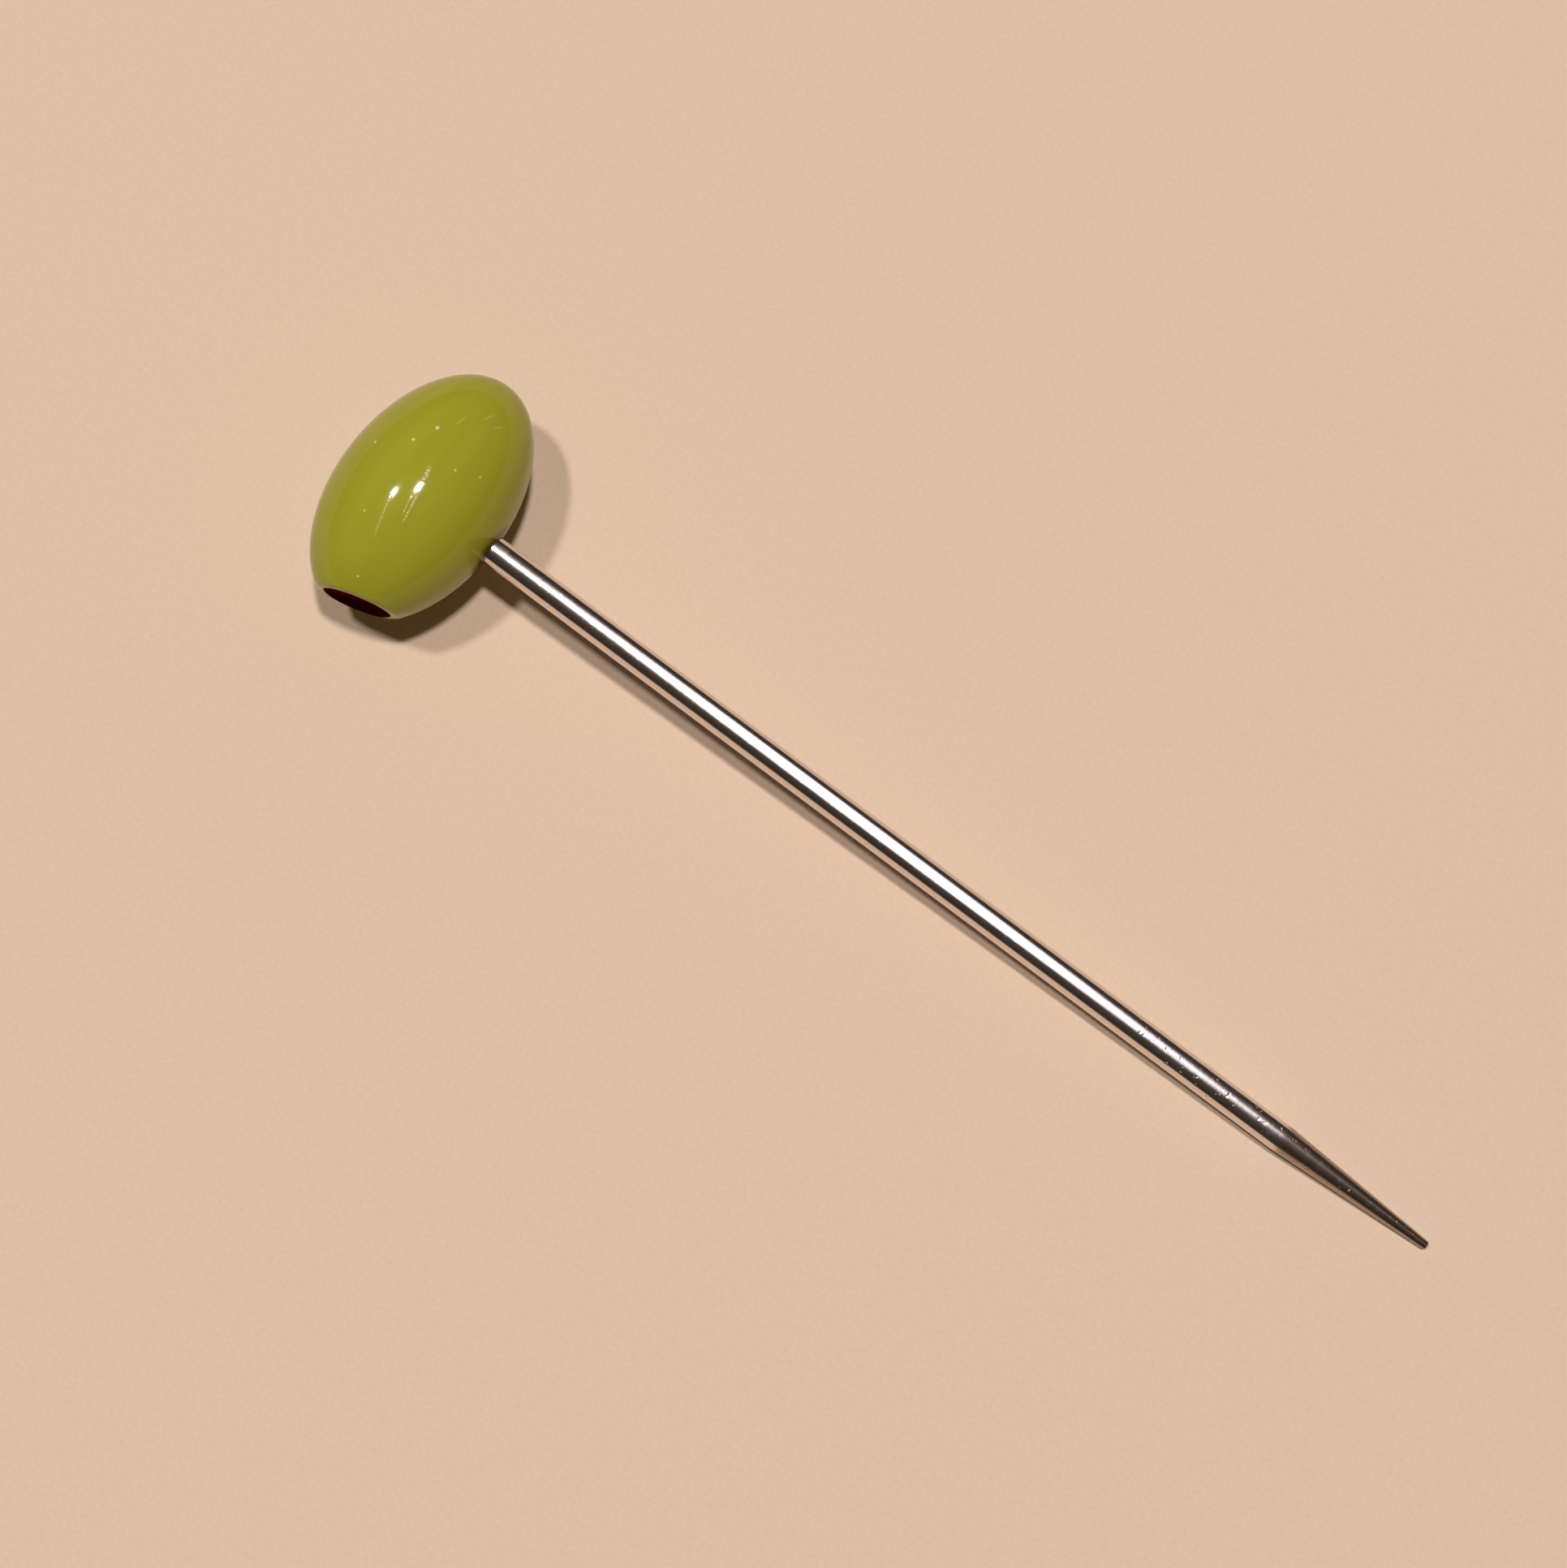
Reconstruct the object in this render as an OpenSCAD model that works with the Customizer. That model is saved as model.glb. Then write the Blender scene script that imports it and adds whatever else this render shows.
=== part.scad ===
// Cocktail pick: a straight steel pin with a blunt ground point and an olive-shaped glass head.
// Units are millimetres. The pick lies on a table, on the belly of its head and on its point.
// z = 0 is the table, +X runs from the head to the point, and the olive's long axis is along Y,
// with its plugged end towards -Y. The origin is on the table under the middle of the whole pick.

/* [Whole pick] */
// Length along the shaft, from the far side of the olive to the end of the point
overall_len = 108; // [80:1:160]

/* [Shaft] */
// Diameter of the straight part of the shaft
shaft_d = 2.44; // [1.8:0.02:3]
// Length of the ground point
point_len = 14.8; // [6:0.2:24]
// Diameter of the blunt end of the point
tip_d = 0.8; // [0.4:0.05:1.4]
// Radius round the edge of the blunt end
tip_edge_r = 0.1; // [0.05:0.01:0.15]
// Chamfer on the hidden end of the shaft
tail_chamfer = 0.3; // [0.1:0.05:0.6]
// Width of the ring grooves in the hidden end of the shaft, which key the adhesive
groove_w = 0.8; // [0.4:0.05:1.2]
// Depth of the ring grooves
groove_depth = 0.2; // [0.1:0.05:0.4]
// Distance from one ring groove to the next
groove_pitch = 2.4; // [1.5:0.1:2.8]
// How far inside the mouth of the socket the first ring groove starts
groove_inset = 0.1; // [0.1:0.05:0.3]

/* [Olive] */
// Length of the olive along its long axis, before one end is cut off
olive_len = 22.9; // [19:0.1:28]
// Diameter of the olive at its belly
olive_d = 14.1; // [11.5:0.1:17]
// Length of the straight band round the belly, on which the head rests
belly_band = 2; // [1:0.1:3]
// Angle by which the cut end leans towards the shaft
end_tilt = 15.5; // [0:0.5:20]
// Width of the glass rim round the plug, in the cut face
rim_w = 0.46; // [0.3:0.02:0.8]
// Radius that rounds the rim
rim_r = 1; // [0.4:0.05:1.4]
// Depth of the socket for the shaft
socket_depth = 9; // [6:0.1:9.6]

/* [Plug] */
// Diameter of the plug
plug_d = 5.5; // [4:0.1:6.6]
// Length of the plug behind the cut face
plug_len = 3; // [1.5:0.1:4]
// How far the rim of the plug stands out of the cut face
plug_proud = 0.1; // [0:0.02:0.3]
// How far the middle of the plug bulges past its rim
plug_crown = 0.15; // [0:0.02:0.4]
// Radius round the rim of the plug
plug_edge_r = 0.2; // [0.1:0.02:0.4]

/* [Adhesive] */
// Clearance round the shaft in its socket, filled with adhesive
shaft_bond = 0.08; // [0.05:0.01:0.15]
// Adhesive between the end of the shaft and the bottom of the socket
tail_bond = 0.3; // [0.1:0.05:0.6]
// Clearance round and behind the plug, filled with adhesive
plug_bond = 0.08; // [0.05:0.01:0.15]
// How far the adhesive round the shaft stops below the mouth of the socket
shaft_bond_recess = 0.7; // [0.4:0.05:0.85]
// How far the adhesive round the plug stops below the cut face
plug_bond_recess = 0.4; // [0.3:0.05:0.8]

/* [Hidden] */

$fn = 96;
// Bands in the olive's outline, from its belly band to each end
OLIVE_STEPS = 22;
GROOVES = 3;
ROUND_STEPS = 6;
CROWN_STEPS = 5;
// Length by which a cutting tool runs past the face that it cuts
OVERRUN = 2;
// Angle from the olive's end face at which the rounding of the rim meets the side of the olive
RIM_TURN = 40;

shaft_r = shaft_d / 2;
tip_r = tip_d / 2;
olive_r = olive_d / 2;
olive_half = olive_len / 2;

// Along the shaft, distances are measured from the middle of the olive.
reach = overall_len - olive_r;
point_start = reach - point_len;
socket_end = olive_r - socket_depth;
tail = socket_end + tail_bond;
socket_r = shaft_r + shaft_bond;
groove_r = shaft_r - groove_depth;

// The shaft slopes down until the edge of its blunt end meets the table.
tip_run = reach - tip_edge_r;
tip_rise = tip_r - tip_edge_r;
slope = asin((olive_r - tip_edge_r) / norm([tip_run, tip_rise])) - atan2(tip_rise, tip_run);

// The cut plane lies where the section of the olive leaves the rim's width round the plug.
// The middle of that section is off the olive's long axis, because the cut leans.
recess_r = plug_d / 2 + plug_bond;
face_r = recess_r + rim_w;
flat_r = face_r - rim_r * tan(RIM_TURN / 2);
end_support = norm([olive_half * cos(end_tilt), olive_r * sin(end_tilt)]);
end_dist = end_support * sqrt(1 - pow(face_r / olive_r, 2));
face_x = pow(olive_r, 2) * sin(end_tilt) * end_dist / pow(end_support, 2);
face_z = pow(olive_half, 2) * cos(end_tilt) * end_dist / pow(end_support, 2);

// Reach of the plugged end along the long axis, at the high side of its rim
rim_reach = face_z + flat_r * sin(end_tilt) + rim_r * (1 - cos(end_tilt));
plug_reach = face_z + (plug_proud - plug_edge_r) * cos(end_tilt)
    + (plug_d / 2 - plug_edge_r) * sin(end_tilt) + plug_edge_r;
end_reach = max(rim_reach, plug_reach);

// Place of the middle of the olive, which puts the origin under the middle of the pick
tip_x = tip_run * cos(slope) + tip_rise * sin(slope) + tip_edge_r;
olive_x = (olive_r - tip_x) / 2;
olive_y = (end_reach - olive_half) / 2;

// Points on an arc about centre c, with radius r, from angle a to angle b
function arc(c, r, a, b, steps) =
    [for (i = [0:steps]) let (t = a + (b - a) * i / steps) c + r * [cos(t), sin(t)]];

// Half outline of the olive, from one end of its long axis to the other. Side is -1 or 1.
function half_outline(side) =
    let (start = asin(belly_band / 2 / olive_half))
    concat(
        [[olive_r, side * belly_band / 2]],
        [for (i = [1:OLIVE_STEPS - 1]) let (t = start + (90 - start) * i / OLIVE_STEPS)
            [olive_r * cos(t), side * olive_half * sin(t)]],
        [[0, side * olive_half]]);
function olive_outline() =
    let (low = half_outline(-1))
    concat([for (i = [len(low) - 1:-1:0]) low[i]], half_outline(1));

// Outline of the ring grooves along the shaft, measured from its hidden end
function groove_outline() =
    [for (i = [GROOVES - 1:-1:0])
        let (high = olive_r - groove_inset - groove_pitch * i - tail, low = high - groove_w)
        each [[shaft_r, low], [groove_r, low], [groove_r, high], [shaft_r, high]]];

// From the shaft's frame to the table: X along the shaft, origin in the middle of the olive
module lying() {
    translate([olive_x, olive_y, olive_r]) rotate([0, slope, 0]) children();
}

// From the olive's frame to the shaft's frame: Z along the long axis, towards the plug
module olive_frame() {
    rotate([90, 0, 0]) children();
}

// From the cut face's frame to the olive's frame: Z out of the face, origin in its middle
module end_frame() {
    translate([face_x, 0, face_z]) rotate([0, end_tilt, 0]) children();
}

// Turns a solid made along Z to lie along the shaft, starting at distance x
module along_shaft(x) {
    translate([x, 0, 0]) rotate([0, 90, 0]) children();
}

// The whole olive, turned about its long axis, with the seam of the turning opposite the socket
module whole_olive() {
    rotate([0, 0, 180]) rotate_extrude() polygon(olive_outline());
}

// Room that the grinding of the end leaves for the olive, with its rounded rim
module end_room() {
    turned = [flat_r, -rim_r] + rim_r * [sin(RIM_TURN), cos(RIM_TURN)];
    far = turned + olive_len * [cos(RIM_TURN), -sin(RIM_TURN)];
    rotate_extrude()
        polygon(concat(
            [[0, -2 * olive_len], [far[0], -2 * olive_len], far],
            arc([flat_r, -rim_r], rim_r, 90 - RIM_TURN, 90, ROUND_STEPS),
            [[0, 0]]));
}

module shaft_solid() {
    tip_arc = arc([tip_rise, tip_run - tail], tip_edge_r, 0, 90, ROUND_STEPS);
    along_shaft(tail) rotate_extrude()
        polygon(concat(
            [[0, 0], [shaft_r - tail_chamfer, 0], [shaft_r, tail_chamfer]],
            groove_outline(),
            [[shaft_r, point_start - tail]],
            tip_arc,
            [[0, reach - tail]]));
}

module plug_solid() {
    rim_flat = plug_d / 2 - plug_edge_r;
    crown = [for (i = [1:CROWN_STEPS]) let (k = 1 - i / CROWN_STEPS)
        [rim_flat * k, plug_proud + plug_crown * (1 - k * k)]];
    end_frame() rotate_extrude()
        polygon(concat(
            [[0, -plug_len], [plug_d / 2, -plug_len]],
            arc([rim_flat, plug_proud - plug_edge_r], plug_edge_r, 0, 90, ROUND_STEPS),
            crown));
}

// The bored hole that the shaft is glued into
module socket() {
    along_shaft(socket_end) cylinder(h = socket_depth + OVERRUN, r = socket_r);
}

// The hole in the cut face that the plug is glued into
module plug_recess(top) {
    depth = plug_len + plug_bond;
    end_frame() translate([0, 0, -depth]) cylinder(h = depth + top, r = recess_r);
}

module shaft() {
    color("silver") lying() shaft_solid();
}

module olive() {
    color([0.58, 0.55, 0.15]) lying() difference() {
        olive_frame() difference() {
            intersection() {
                whole_olive();
                end_frame() end_room();
            }
            plug_recess(OVERRUN);
        }
        socket();
    }
}

module pimento_plug() {
    color([0.42, 0.03, 0.04]) lying() olive_frame() plug_solid();
}

module shaft_adhesive() {
    color([0.85, 0.82, 0.7]) lying() difference() {
        along_shaft(socket_end) cylinder(h = socket_depth - shaft_bond_recess, r = socket_r);
        shaft_solid();
    }
}

module plug_adhesive() {
    color([0.85, 0.82, 0.7]) lying() olive_frame() difference() {
        plug_recess(-plug_bond_recess);
        plug_solid();
    }
}

shaft();
olive();
pimento_plug();
shaft_adhesive();
plug_adhesive();
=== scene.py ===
"""Cocktail pick: a bright steel pin with a glass olive set across its head, lying on a pale table.

Each sub-assembly is a class that holds its sizes in millimetres, builds its mesh in its own frame,
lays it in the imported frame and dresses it. Finishes are frozen dataclasses that build a material.
"""

import logging
import math
from dataclasses import dataclass, field
from enum import Enum
from typing import Any

import bmesh
import bpy
from mathutils import Matrix, Vector


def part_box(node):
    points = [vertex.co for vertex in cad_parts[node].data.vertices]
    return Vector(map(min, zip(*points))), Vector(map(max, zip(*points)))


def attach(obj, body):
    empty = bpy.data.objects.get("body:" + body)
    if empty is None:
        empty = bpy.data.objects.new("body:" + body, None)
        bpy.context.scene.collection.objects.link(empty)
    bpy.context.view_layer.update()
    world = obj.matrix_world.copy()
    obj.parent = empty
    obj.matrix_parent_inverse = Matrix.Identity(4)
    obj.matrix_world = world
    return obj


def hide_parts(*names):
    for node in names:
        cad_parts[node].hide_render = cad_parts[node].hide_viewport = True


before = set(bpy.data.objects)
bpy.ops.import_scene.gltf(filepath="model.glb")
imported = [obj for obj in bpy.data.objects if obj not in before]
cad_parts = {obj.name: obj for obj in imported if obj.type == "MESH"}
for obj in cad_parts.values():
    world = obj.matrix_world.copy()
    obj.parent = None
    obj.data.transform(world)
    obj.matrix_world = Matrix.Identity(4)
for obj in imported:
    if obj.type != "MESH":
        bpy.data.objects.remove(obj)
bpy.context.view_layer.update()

Tree = bpy.types.NodeTree
Socket = bpy.types.NodeSocket
Solid = bmesh.types.BMesh

LOG = logging.getLogger("pick")
MM = 0.001
BODY = "root"
# Points closer than this are one, in millimetres
WELD = 1e-5
# Points closer than this to a cut lie on it, as a share of a ball's radius
CUT_MARGIN = 1e-6
# Most of a noise texture's values lie between these
NOISE_SPAN = (0.3, 0.7)
# Eases a Map Range node's value in and out of its range
SMOOTH = {"interpolation_type": "SMOOTHSTEP"}
# Sockets of a Mix node by their places, because its names repeat
MIX_FLOATS = (2, 3)
MIX_COLOURS = (6, 7)
MIX_COLOUR_OUT = 2


class Slot(Enum):
    """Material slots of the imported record."""

    STEEL = "shaft_steel"
    OLIVE = "olive_glass"
    PLUG = "plug_glass"


class LampShape(Enum):
    """Outlines of a soft box's front."""

    RECTANGLE = "RECTANGLE"
    OVAL = "ELLIPSE"


def linear(hex_colour: str) -> tuple[float, float, float, float]:
    """Turns an sRGB colour into the linear values that the shaders take.

    Args:
        hex_colour: Six hex digits, such as "948e28".

    Returns:
        Red, green, blue and an alpha of 1.
    """
    channels = [int(hex_colour[i : i + 2], 16) / 255 for i in (0, 2, 4)]
    parts = [c / 12.92 if c <= 0.04045 else ((c + 0.055) / 1.055) ** 2.4 for c in channels]
    return (*parts, 1.0)


def add_node(tree: Tree, kind: str, inputs: dict[Any, Any] | None = None, **settings: Any) -> Any:
    """Adds a node, sets it up and fills its inputs.

    Args:
        tree: The node tree that gets the node.
        kind: The node's type, without the leading "ShaderNode".
        inputs: A value or another node's output for each input, by name or place.
        **settings: Attributes of the node.

    Returns:
        The new node.
    """
    node = tree.nodes.new("ShaderNode" + kind)
    for key, value in settings.items():
        setattr(node, key, value)
    for key, value in (inputs or {}).items():
        if isinstance(value, Socket):
            tree.links.new(value, node.inputs[key])
        else:
            node.inputs[key].default_value = value
    return node


def blank_material(name: str) -> tuple[bpy.types.Material, Tree, Any]:
    """Makes a material with one Principled shader.

    Args:
        name: The material's name.

    Returns:
        The material, its tree and its shader node.
    """
    material = bpy.data.materials.new(name)
    material.use_nodes = True
    tree = material.node_tree
    return material, tree, tree.nodes["Principled BSDF"]


def place_from(tree: Tree, origin: Vector, unit: float = 1.0, slope: float = 0.0) -> Socket:
    """Adds the nodes that give each place on a piece, from a point of the piece.

    Args:
        tree: The material's tree.
        origin: The point, in millimetres.
        unit: Length that counts as 1, in millimetres.
        slope: Angle by which X dips from level, in radians.

    Returns:
        The place.
    """
    turn = Matrix.Rotation(-slope, 4, "Y")
    setting = {
        "Vector": add_node(tree, "TexCoord").outputs["Object"],
        "Location": -(turn @ origin) / unit,
        "Rotation": (0, -slope, 0),
        "Scale": (1 / (MM * unit),) * 3,
    }
    return add_node(tree, "Mapping", setting).outputs[0]


def ends(start: float, end: float, first: float = 0.0, last: float = 1.0) -> dict[str, float]:
    """Gives the two ranges of a Map Range node.

    Args:
        start: The value that becomes first.
        end: The value that becomes last.
        first: What start becomes.
        last: What end becomes.

    Returns:
        The ranges, by the names of the node's inputs.
    """
    return {"From Min": start, "From Max": end, "To Min": first, "To Max": last}


def set_stops(ramp: Any, *stops: tuple[float, str]) -> None:
    """Sets the colours of a colour ramp.

    Args:
        ramp: The ramp's node, with its two stops.
        *stops: Place and sRGB colour of each stop, from low to high.
    """
    low, *between, high = stops
    elements = ramp.color_ramp.elements
    for element, (place, colour) in ((elements[0], low), (elements[1], high)):
        element.position, element.color = place, linear(colour)
    for place, colour in between:
        elements.new(place).color = linear(colour)


@dataclass(frozen=True)
class Layout:
    """How the pick lies: its olive's middle, the slope of its shaft and the lean of its cut end."""

    overall_len: float = 108.0
    olive_d: float = 14.1
    olive_len: float = 22.9
    tip_d: float = 0.8
    tip_edge_r: float = 0.1
    end_tilt: float = math.radians(15.5)

    @property
    def olive_r(self) -> float:
        """Radius of the olive at its belly."""
        return self.olive_d / 2

    @property
    def olive_half(self) -> float:
        """Half the olive's length before its end is cut."""
        return self.olive_len / 2

    @property
    def reach(self) -> float:
        """Distance from the olive's middle to the end of the point."""
        return self.overall_len - self.olive_r

    @property
    def slope(self) -> float:
        """Angle at which the shaft runs down to the table, in radians.

        Returns:
            The angle at which the olive and the lower edge of the point both touch the table.
        """
        run, rise = self.reach - self.tip_edge_r, self.tip_d / 2 - self.tip_edge_r
        fall = math.asin((self.olive_r - self.tip_edge_r) / math.hypot(run, rise))
        return fall - math.atan2(rise, run)

    @property
    def olive_middle(self) -> Vector:
        """The olive's middle in millimetres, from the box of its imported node."""
        low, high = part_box("olive")
        return Vector((low.x / MM + self.olive_r, high.y / MM - self.olive_half, self.olive_r))

    def shaft_frame(self) -> Matrix:
        """Frame with X along the shaft and its origin in the olive's middle."""
        return Matrix.Translation(self.olive_middle) @ Matrix.Rotation(self.slope, 4, "Y")

    def olive_frame(self) -> Matrix:
        """Frame with Z along the olive's long axis, towards the plug."""
        return self.shaft_frame() @ Matrix.Rotation(math.pi / 2, 4, "X")


@dataclass(frozen=True)
class CutEnd:
    """The flat that is ground across one end of the olive, and the hole in it for the plug."""

    layout: Layout
    plug_d: float = 5.5
    bond: float = 0.08
    rim_w: float = 0.46

    @property
    def recess_r(self) -> float:
        """Radius of the hole for the plug."""
        return self.plug_d / 2 + self.bond

    @property
    def support(self) -> float:
        """Distance from the olive's middle to the plane that only touches its end at this lean."""
        lean, lay = self.layout.end_tilt, self.layout
        return math.hypot(lay.olive_half * math.cos(lean), lay.olive_r * math.sin(lean))

    @property
    def distance(self) -> float:
        """Distance from the olive's middle to the plane of the cut."""
        face_r = self.recess_r + self.rim_w
        return self.support * math.sqrt(1 - (face_r / self.layout.olive_r) ** 2)

    def local_frame(self) -> Matrix:
        """Gives the cut face's frame in the olive's own frame.

        Returns:
            A frame with Z out of the face and its origin in the middle of the cut section.
        """
        lean, lay = self.layout.end_tilt, self.layout
        across = lay.olive_r**2 * math.sin(lean)
        along = lay.olive_half**2 * math.cos(lean)
        middle = Vector((across, 0, along)) * (self.distance / self.support**2)
        return Matrix.Translation(middle) @ Matrix.Rotation(lean, 4, "Y")

    def frame(self) -> Matrix:
        """The same frame on the table."""
        return self.layout.olive_frame() @ self.local_frame()


def arc(
    centre: tuple[float, float], radius: float, start: float, end: float, steps: int
) -> list[tuple[float, float]]:
    """Gives points along an arc.

    Args:
        centre: The arc's centre.
        radius: The arc's radius.
        start: Angle of the first point, in degrees.
        end: Angle of the last point, in degrees.
        steps: Number of steps between them.

    Returns:
        The points, from start to end.
    """
    angles = [math.radians(start + (end - start) * i / steps) for i in range(steps + 1)]
    return [(centre[0] + radius * math.cos(a), centre[1] + radius * math.sin(a)) for a in angles]


def turned(profile: list[tuple[float, float]], segments: int) -> Solid:
    """Turns a closed solid about Z from its half outline.

    Args:
        profile: Radius and height of each point, from axis to axis.
        segments: Number of steps in the full turn.

    Returns:
        The solid.
    """
    bm = bmesh.new()
    verts = [bm.verts.new((radius, 0, height)) for radius, height in profile]
    edges = [bm.edges.new(pair) for pair in zip(verts, verts[1:])]
    bmesh.ops.spin(
        bm,
        geom=verts + edges,
        cent=(0, 0, 0),
        axis=(0, 0, 1),
        angle=math.tau,
        steps=segments,
        use_merge=True,
    )
    bmesh.ops.remove_doubles(bm, verts=bm.verts, dist=WELD)
    bmesh.ops.recalc_face_normals(bm, faces=bm.faces)
    return bm


def placed_object(bm: Solid, name: str, place: Matrix, crease: float = 30.0) -> bpy.types.Object:
    """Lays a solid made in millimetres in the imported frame, shaded smooth with sharp creases.

    Args:
        bm: The solid, which is used up.
        name: The object's name.
        place: The frame that it was made in.
        crease: Smallest angle between two faces that stays sharp, in degrees.

    Returns:
        An object at the origin, with its place in its mesh.
    """
    bmesh.ops.transform(bm, matrix=Matrix.Scale(MM, 4) @ place, verts=bm.verts)
    for face in bm.faces:
        face.smooth = True
    for edge in bm.edges:
        edge.smooth = edge.calc_face_angle(0.0) < math.radians(crease)
    mesh = bpy.data.meshes.new(name)
    bm.to_mesh(mesh)
    bm.free()
    made = bpy.data.objects.new(name, mesh)
    bpy.context.scene.collection.objects.link(made)
    return made


def declare(piece: bpy.types.Object, node: str, material: bpy.types.Material) -> None:
    """Dresses a piece, puts it on the body and hides the CAD node that it replaces.

    Args:
        piece: The new piece.
        node: The CAD node that it replaces.
        material: Its finish.
    """
    piece.data.materials.append(material)
    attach(piece, BODY)
    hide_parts(node)
    LOG.info("%s: %d faces", piece.name, len(piece.data.polygons))


@dataclass(frozen=True)
class Scuff:
    """A narrow worn strip on the olive, whose fine scratches draw a highlight out along it."""

    start: tuple[float, float]
    end: tuple[float, float]
    half_width: float
    # Share of the half width, and of the half length, that is fully worn before the strip fades
    full_width: float = 0.3
    full_length: float = 0.6

    def mask(self, tree: Tree, local: Socket) -> Socket:
        """Adds a mask that is 1 in the middle of the strip and 0 off it.

        Args:
            tree: The material's tree.
            local: Place from the olive's middle, in millimetres.

        Returns:
            The mask.
        """
        run = Vector((self.end[0] - self.start[0], self.end[1] - self.start[1], 0))
        along, across = run.normalized(), run.normalized().cross(Vector((0, 0, 1)))
        start = (*self.start, 0)
        offset = add_node(tree, "VectorMath", {0: local, 1: start}, operation="SUBTRACT").outputs[0]
        travel = add_node(tree, "VectorMath", {0: offset, 1: along}, operation="DOT_PRODUCT")
        aside = add_node(tree, "VectorMath", {0: offset, 1: across}, operation="DOT_PRODUCT")
        half_length = run.length / 2
        centred = add_node(
            tree, "Math", {0: travel.outputs["Value"], 1: half_length}, operation="SUBTRACT"
        ).outputs[0]
        fades = []
        for distance, full, none in (
            (aside.outputs["Value"], self.full_width * self.half_width, self.half_width),
            (centred, self.full_length * half_length, half_length),
        ):
            size = add_node(tree, "Math", {0: distance}, operation="ABSOLUTE").outputs[0]
            fade = add_node(
                tree, "MapRange", {"Value": size, **ends(full, none, 1.0, 0.0)}, **SMOOTH
            )
            fades.append(fade.outputs[0])
        return add_node(tree, "Math", {0: fades[0], 1: fades[1]}, operation="MULTIPLY").outputs[0]


@dataclass(frozen=True)
class OliveGlass:
    """Soda-lime glass, opaque yellow-green, wound hot and fire polished.

    It is glossy, with faint drawn-out streaks of lighter and darker glass along its length, a soft
    waviness, a few tiny open bubbles with painted pale glints, and hair-fine scuffs beside its
    highlights, a little pale partly from wear and partly as painted highlight. A painted shade
    darkens it round the shaft's socket.
    """

    layout: Layout
    pale: str = "a4a432"
    body: str = "a1a12e"
    deep: str = "9e9e2b"
    # Pale colour of the bubbles' painted glints, and of the scuffs' partly painted highlight
    speck: str = "e9e8b0"
    # Colour of the painted shade round the socket: the shaft's shadow and dark reflection
    shade: str = "4b3f0c"
    ior: float = 1.5
    specular: float = 0.26
    gloss: tuple[float, float] = (0.08, 0.14)
    worn_gloss: float = 0.24
    # How pale the scuffs are tinted: partly wear, partly painted highlight
    wear_and_glint_paleness: float = 0.15
    # Handled and less handled patches of the surface, per millimetre
    handling_scale: float = 0.45
    streak_width: float = 1.6
    streak_stretch: float = 0.11
    streak_stops: tuple[float, float, float] = (0.30, 0.50, 0.74)
    wave_length: float = 3.5
    wave_height: float = 0.006
    # Real scratches are about 0.02 mm apart. They are drawn coarser and deeper so that they show
    scratch_pitch: float = 0.24
    scratch_length: float = 0.45
    scratch_height: float = 0.05
    bubble_depth: float = 0.04
    # Distances from the middle of the socket's mouth between which the painted shade fades: it
    # stands for the shaft's shadow and dark reflection on the glass
    mouth_reach: tuple[float, float] = (1.5, 2.9)
    mouth_ragged: float = 0.9
    mouth_scale: float = 0.8
    mouth_shade: float = 0.9
    # Place of each open bubble: distance along the long axis from the middle, turn about it from
    # straight up towards the shaft, and radius
    bubbles: tuple[tuple[float, float, float], ...] = (
        (4.0, -9.0, 0.26),
        (2.1, -16.0, 0.20),
        (0.4, -39.0, 0.18),
        (2.1, 18.0, 0.15),
        (3.0, 34.0, 0.14),
        (-4.6, -14.0, 0.13),
        (-8.8, 10.0, 0.15),
    )
    scuffs: tuple[Scuff, ...] = (
        Scuff((-0.6, -2.4), (0.3, -6.0), 0.16),
        Scuff((1.1, -0.8), (1.5, -4.0), 0.14),
        Scuff((0.8, -1.6), (1.1, -3.4), 0.10),
        Scuff((0.85, -0.3), (0.5, 1.3), 0.28),
        Scuff((-0.1, 5.0), (0.1, 6.4), 0.12),
        Scuff((1.2, 6.9), (1.6, 8.0), 0.12),
        Scuff((2.2, 6.8), (2.6, 7.6), 0.12),
    )

    def bubble_place(self, along: float, turn: float) -> Vector:
        """Gives the point on the olive's surface at a distance along it and a turn about it.

        Args:
            along: Distance from the middle along the long axis, away from the plug, in millimetres.
            turn: Turn from straight up towards the shaft, in degrees.

        Returns:
            The point from the olive's middle, in millimetres.
        """
        lay = self.layout
        girth = lay.olive_r * math.sqrt(1 - (along / lay.olive_half) ** 2)
        angle = math.radians(turn)
        return Vector((girth * math.sin(angle), along, girth * math.cos(angle)))

    def build(self) -> bpy.types.Material:
        """Builds the material.

        Returns:
            The material.
        """
        material, tree, shader = blank_material("olive_green_glass")
        local = place_from(tree, self.layout.olive_middle)
        bubbles = self.bubble_mask(tree, local)
        handling = add_node(
            tree,
            "TexNoise",
            {"Vector": local, "Scale": self.handling_scale, "Detail": 4.0, "Roughness": 0.6},
        )
        gloss = add_node(
            tree, "MapRange", {"Value": handling.outputs["Fac"], **ends(*NOISE_SPAN, *self.gloss)}
        )
        worn = self.worn_mask(tree, local)
        tree.links.new(self.colour(tree, local, bubbles, worn), shader.inputs["Base Color"])
        base, over = MIX_FLOATS
        rubbed = add_node(
            tree,
            "Mix",
            {"Factor": worn, base: gloss.outputs["Result"], over: self.worn_gloss},
            data_type="FLOAT",
        )
        tree.links.new(rubbed.outputs[0], shader.inputs["Roughness"])
        shader.inputs["IOR"].default_value = self.ior
        shader.inputs["Specular IOR Level"].default_value = self.specular
        height = self.relief(tree, local, bubbles, worn)
        bump = add_node(tree, "Bump", {"Height": height, "Strength": 1.0, "Distance": MM})
        tree.links.new(bump.outputs["Normal"], shader.inputs["Normal"])
        return material

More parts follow.
